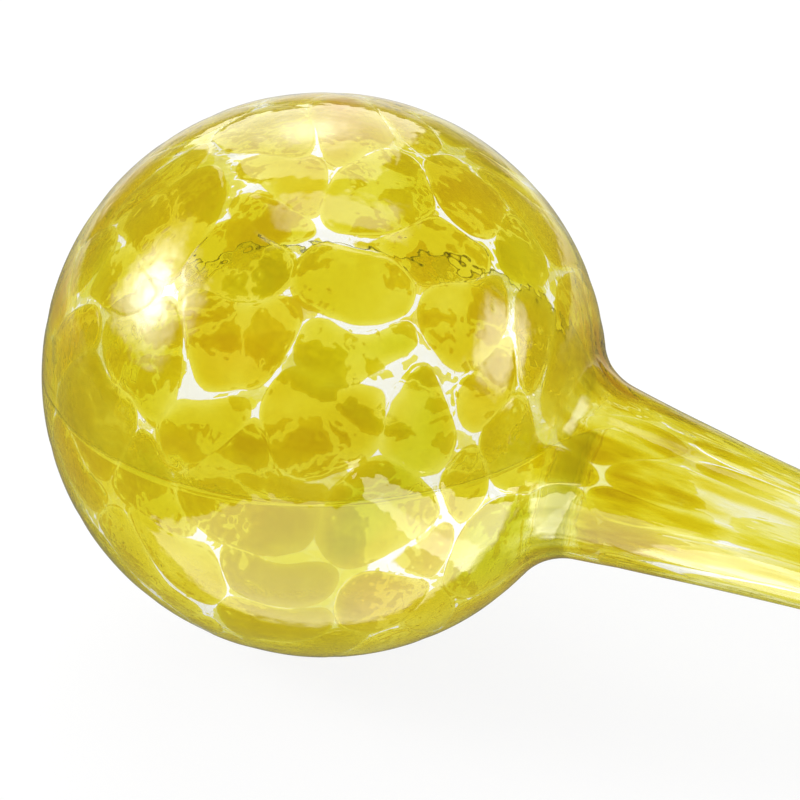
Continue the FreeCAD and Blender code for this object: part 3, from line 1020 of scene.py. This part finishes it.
@dataclass(frozen=True)
class Studio:
    """White table, white room, soft lamps and the camera."""

    lying: Lying
    azimuth_degrees: float = 19.0
    elevation_degrees: float = 29.0
    view_width: float = 113.1
    distance: float = 700.0
    aim_right: float = 10.68
    aim_down: float = 3.56
    sensor: float = 36.0
    clip: Pair = (0.01, 100.0)
    light_bounces: int = 200
    room_light: float = 0.55
    mirrored_room: float = 0.12
    room_rise: Pair = (-0.97, -0.75)
    table_radius: float = 700.0
    table_white: float = 0.9
    glow_share: float = 0.9
    # Painted shade of the table where the glass mirrors it: a dark paint, a dim glow in front of the globe,
    # and the span over which that glow rises to white.
    mirrored_shade_paint: float = 0.2
    mirrored_front_shade: float = 0.15
    front_shade_rise: Pair = (100.0, 300.0)
    softboxes: tuple[Softbox, ...] = (
        Softbox("left_softbox", (-0.886, 0.415, 0.21), (440.0, 520.0), 0.6, 6.0, core=16.0),
        Softbox("right_softbox", (0.955, 0.169, 0.245), (280.0, 420.0), 0.6, 6.0),
        Softbox(
            "top_softbox", (-0.06, 0.93, -0.37), (470.0, 640.0), 0.1, 2.5, core=4.0, colour=(0.97, 1.0, 0.93)
        ),
        Softbox(
            "stem_panel", (0.337, -0.641, 0.69), (46.0, 260.0), 0.06, 4.5,
            distance=171.5, colour=(1.0, 0.98, 0.92), mirrored_only=True, lies_flat=True,
        ),
        Softbox("strip", (0.08, 0.914, 0.407), (560.0, 230.0), 0.4, 3.0, mirrored_only=True),
        Softbox(
            "table_panel", (-0.053, -0.805, 0.592), (108.0, 106.0), 0.06, 2.3,
            distance=93.0, colour=(1.0, 0.97, 0.9), mirrored_only=True, lies_flat=True,
        ),
    )

    def toward_camera(self) -> Array:
        """Direction from the globe to the camera."""
        turn, rise = np.radians([self.azimuth_degrees, self.elevation_degrees])
        return np.array([np.sin(turn) * np.cos(rise), -np.cos(turn) * np.cos(rise), np.sin(rise)])

    def axes(self) -> Array:
        """Directions as the camera sees them.

        Returns:
            Rows: right, up and toward the camera, in the frame.
        """
        back = self.toward_camera()
        right = np.cross([0.0, 0.0, 1.0], back)
        right /= np.linalg.norm(right)
        return np.array([right, np.cross(back, right), back])

    def camera(self) -> None:
        """Set the camera up at the angle and distance of the photograph."""
        right, up, back = self.axes()
        aim = self.lying.centre + right * self.aim_right - up * self.aim_down
        data = bpy.data.cameras.new("camera")
        data.sensor_width = self.sensor
        data.lens = self.sensor * self.distance / self.view_width
        data.clip_start, data.clip_end = self.clip
        camera = add_object("camera", data)
        camera.location = Vector((aim + back * self.distance) * METRES)
        camera.rotation_mode = "QUATERNION"
        camera.rotation_quaternion = Vector(-back).to_track_quat("-Z", "Y")
        bpy.context.scene.camera = camera

    def lamps(self) -> None:
        """Place the softboxes, each turned toward the bulb or lying flat."""
        for box in self.softboxes:
            lamp = add_object(box.name, box.light())
            lamp.visible_camera = lamp.visible_transmission = False
            lamp.visible_diffuse = not box.mirrored_only
            way = np.array(box.way) @ self.axes()
            way /= np.linalg.norm(way)
            lamp.location = Vector((self.lying.centre + way * box.distance) * METRES)
            depth = np.array([0.0, 0.0, -1.0]) if box.lies_flat else way
            across = self.axes()[0] - depth * (depth @ self.axes()[0])
            across /= np.linalg.norm(across)
            turned = Matrix((across, np.cross(depth, across), depth)).transposed()
            lamp.rotation_mode = "QUATERNION"
            lamp.rotation_quaternion = turned.to_quaternion()

    def world(self) -> None:
        """Light the room evenly, and dim what the glass mirrors of it.

        A mirrored ray that goes nearly straight on still meets white.
        """
        world = bpy.data.worlds.new("white_room")
        bpy.context.scene.world = world
        nodes = Nodes(world)
        way = nodes.add("TexCoord").outputs["Generated"]
        front = nodes.vector_math("DOT_PRODUCT", way, tuple(self.toward_camera())).outputs["Value"]
        dim = nodes.step(front, *self.room_rise, (1.0, self.mirrored_room))
        mirrored = nodes.mirrored()
        kept = nodes.math("SUBTRACT", 1.0, mirrored)
        kept = nodes.math("MULTIPLY_ADD", nodes.ray("Is Diffuse Ray"), self.room_light - 1.0, kept)
        strength = nodes.math("MULTIPLY_ADD", dim, mirrored, kept)
        light = nodes.add("Background", {"Color": WHITE, "Strength": strength})
        nodes.add("OutputWorld", {"Surface": light.outputs[0]})

    def table_top(self) -> Material:
        """Make the table's white: it keeps a soft shadow, and fades out far away.

        In the glass it is dim in front of the globe and white behind it: painted shade in its glow, and a
        dark paint, that only mirrored rays meet.

        Returns:
            The material.
        """
        made = bpy.data.materials.new("white_table")
        nodes = Nodes(made)
        seen = nodes.math("MAXIMUM", nodes.ray("Is Camera Ray"), nodes.ray("Is Glossy Ray"))
        seen = nodes.math("MAXIMUM", seen, nodes.ray("Is Transmission Ray"))
        place = nodes.add("TexCoord").outputs["Object"]
        mirrored = nodes.mirrored()
        ahead = (*-self.toward_camera()[:2], 0.0)
        behind = nodes.vector_math("DOT_PRODUCT", place, ahead).outputs["Value"]
        near, far = (reach * METRES for reach in self.front_shade_rise)
        # Painted shade: the glow that the glass mirrors is dim in front of the globe.
        lit = nodes.step(behind, near, far, (self.mirrored_front_shade, 1.0))
        lit = nodes.math("MULTIPLY_ADD", nodes.math("SUBTRACT", lit, 1.0), mirrored, 1.0)
        glow = nodes.add("Emission", {"Color": WHITE, "Strength": lit})
        # Painted shade: the paint that the glass mirrors is dark.
        paints = [
            nodes.add("BsdfDiffuse", {"Color": (*[white] * 3, 1.0)}).outputs[0]
            for white in (self.table_white, self.mirrored_shade_paint)
        ]
        ground = nodes.add("MixShader", {0: mirrored, 1: paints[0], 2: paints[1]})
        share = nodes.math("MULTIPLY", seen, self.glow_share)
        both = nodes.add("MixShader", {0: share, 1: ground.outputs[0], 2: glow.outputs[0]})
        away = nodes.vector_math("LENGTH", place).outputs["Value"]
        fade = nodes.step(away, self.table_radius / 2 * METRES, self.table_radius * METRES)
        gone = nodes.add("BsdfTransparent")
        shown = nodes.add("MixShader", {0: fade, 1: both.outputs[0], 2: gone.outputs[0]})
        nodes.add("OutputMaterial", {"Surface": shown.outputs[0]})
        return made

    def table(self) -> None:
        """Lay the white table."""
        half = self.table_radius * METRES
        mesh = bpy.data.meshes.new("table")
        corners = [(x * half, y * half, 0.0) for x, y in ((-1, -1), (1, -1), (1, 1), (-1, 1))]
        mesh.from_pydata(corners, [], [(0, 1, 2, 3)])
        mesh.materials.append(self.table_top())
        table = add_object("table", mesh)

    def build(self) -> None:
        """Set up camera, room, table and lamps."""
        scene = bpy.context.scene
        scene.view_settings.view_transform = "Standard"
        for kind in ("max", "transmission", "glossy"):
            setattr(scene.cycles, f"{kind}_bounces", self.light_bounces)
        self.camera()
        self.world()
        self.table()
        self.lamps()


def main() -> None:
    """Build the studio, the glass and the water."""
    logging.basicConfig(level=logging.INFO, format="%(name)s: %(message)s")
    gather = Gather()
    lying = Lying(gather)
    down = lying.axes @ np.array([0.0, 0.0, -1.0])
    chips = MeltedChips(gather, down)
    Studio(lying).build()
    BlownGlass(gather, lying, chips).build()
    WaterFill(gather, lying).build()


if __name__ == "__main__":
    main()
